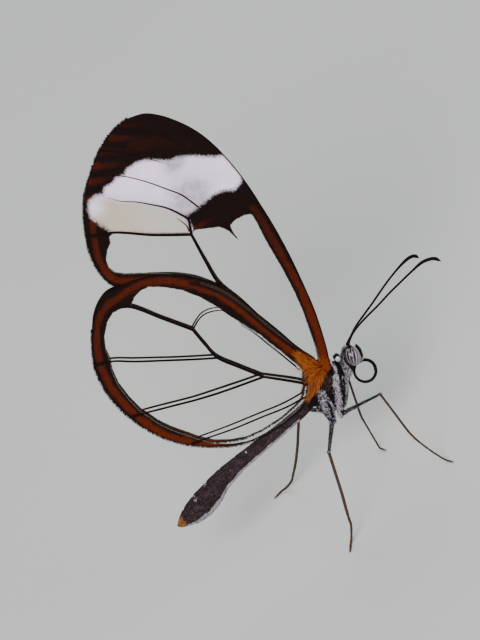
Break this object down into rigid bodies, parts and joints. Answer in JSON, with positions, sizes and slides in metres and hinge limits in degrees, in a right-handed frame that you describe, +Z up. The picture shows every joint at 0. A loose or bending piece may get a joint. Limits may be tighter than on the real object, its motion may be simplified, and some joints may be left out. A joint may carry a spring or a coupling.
{
  "type": "glasswing butterfly",
  "caption": "Life-size still model of a glasswing butterfly standing with clear, dark-bordered wings closed upright over its back.",
  "frame": {"origin": "middle of the box on the plane that the feet stand on", "axes": "+X forwards towards the head, +Y to the animal's left, +Z up along the closed wings"},
  "size_m": [0.0302, 0.0144, 0.0416],
  "materials": {
    "body_scales": "short dark scales and hairs with grey-white stripes and spots",
    "dark_cuticle": "satin dark brown cuticle with fine scales",
    "eye": "smooth silvery grey with dark curved stripes",
    "wing_membrane": "clear, thin and slightly iridescent",
    "wing_border": "black-brown scales with an orange-brown band"
  },
  "bodies": {
    "root": {"thorax": "body_scales", "abdomen": "body_scales", "head": "body_scales", "eye_right": "eye", "eye_left": "eye", "palp_right": "dark_cuticle", "palp_left": "dark_cuticle", "antenna_right": "dark_cuticle", "antenna_left": "dark_cuticle", "proboscis": "dark_cuticle", "foreleg_right": "dark_cuticle", "foreleg_left": "dark_cuticle", "hindleg_right_femur": "dark_cuticle", "hindleg_right_tibia": "dark_cuticle", "hindleg_right_tarsus": "dark_cuticle", "hindleg_left_femur": "dark_cuticle", "hindleg_left_tibia": "dark_cuticle", "hindleg_left_tarsus": "dark_cuticle", "midleg_right_femur": "dark_cuticle", "midleg_right_tibia": "dark_cuticle", "midleg_right_tarsus": "dark_cuticle", "midleg_left_femur": "dark_cuticle", "midleg_left_tibia": "dark_cuticle", "midleg_left_tarsus": "dark_cuticle", "forewing_right": "wing_membrane", "forewing_left": "wing_membrane", "hindwing_right": "wing_membrane", "hindwing_left": "wing_membrane"}
  },
  "joints": []
}
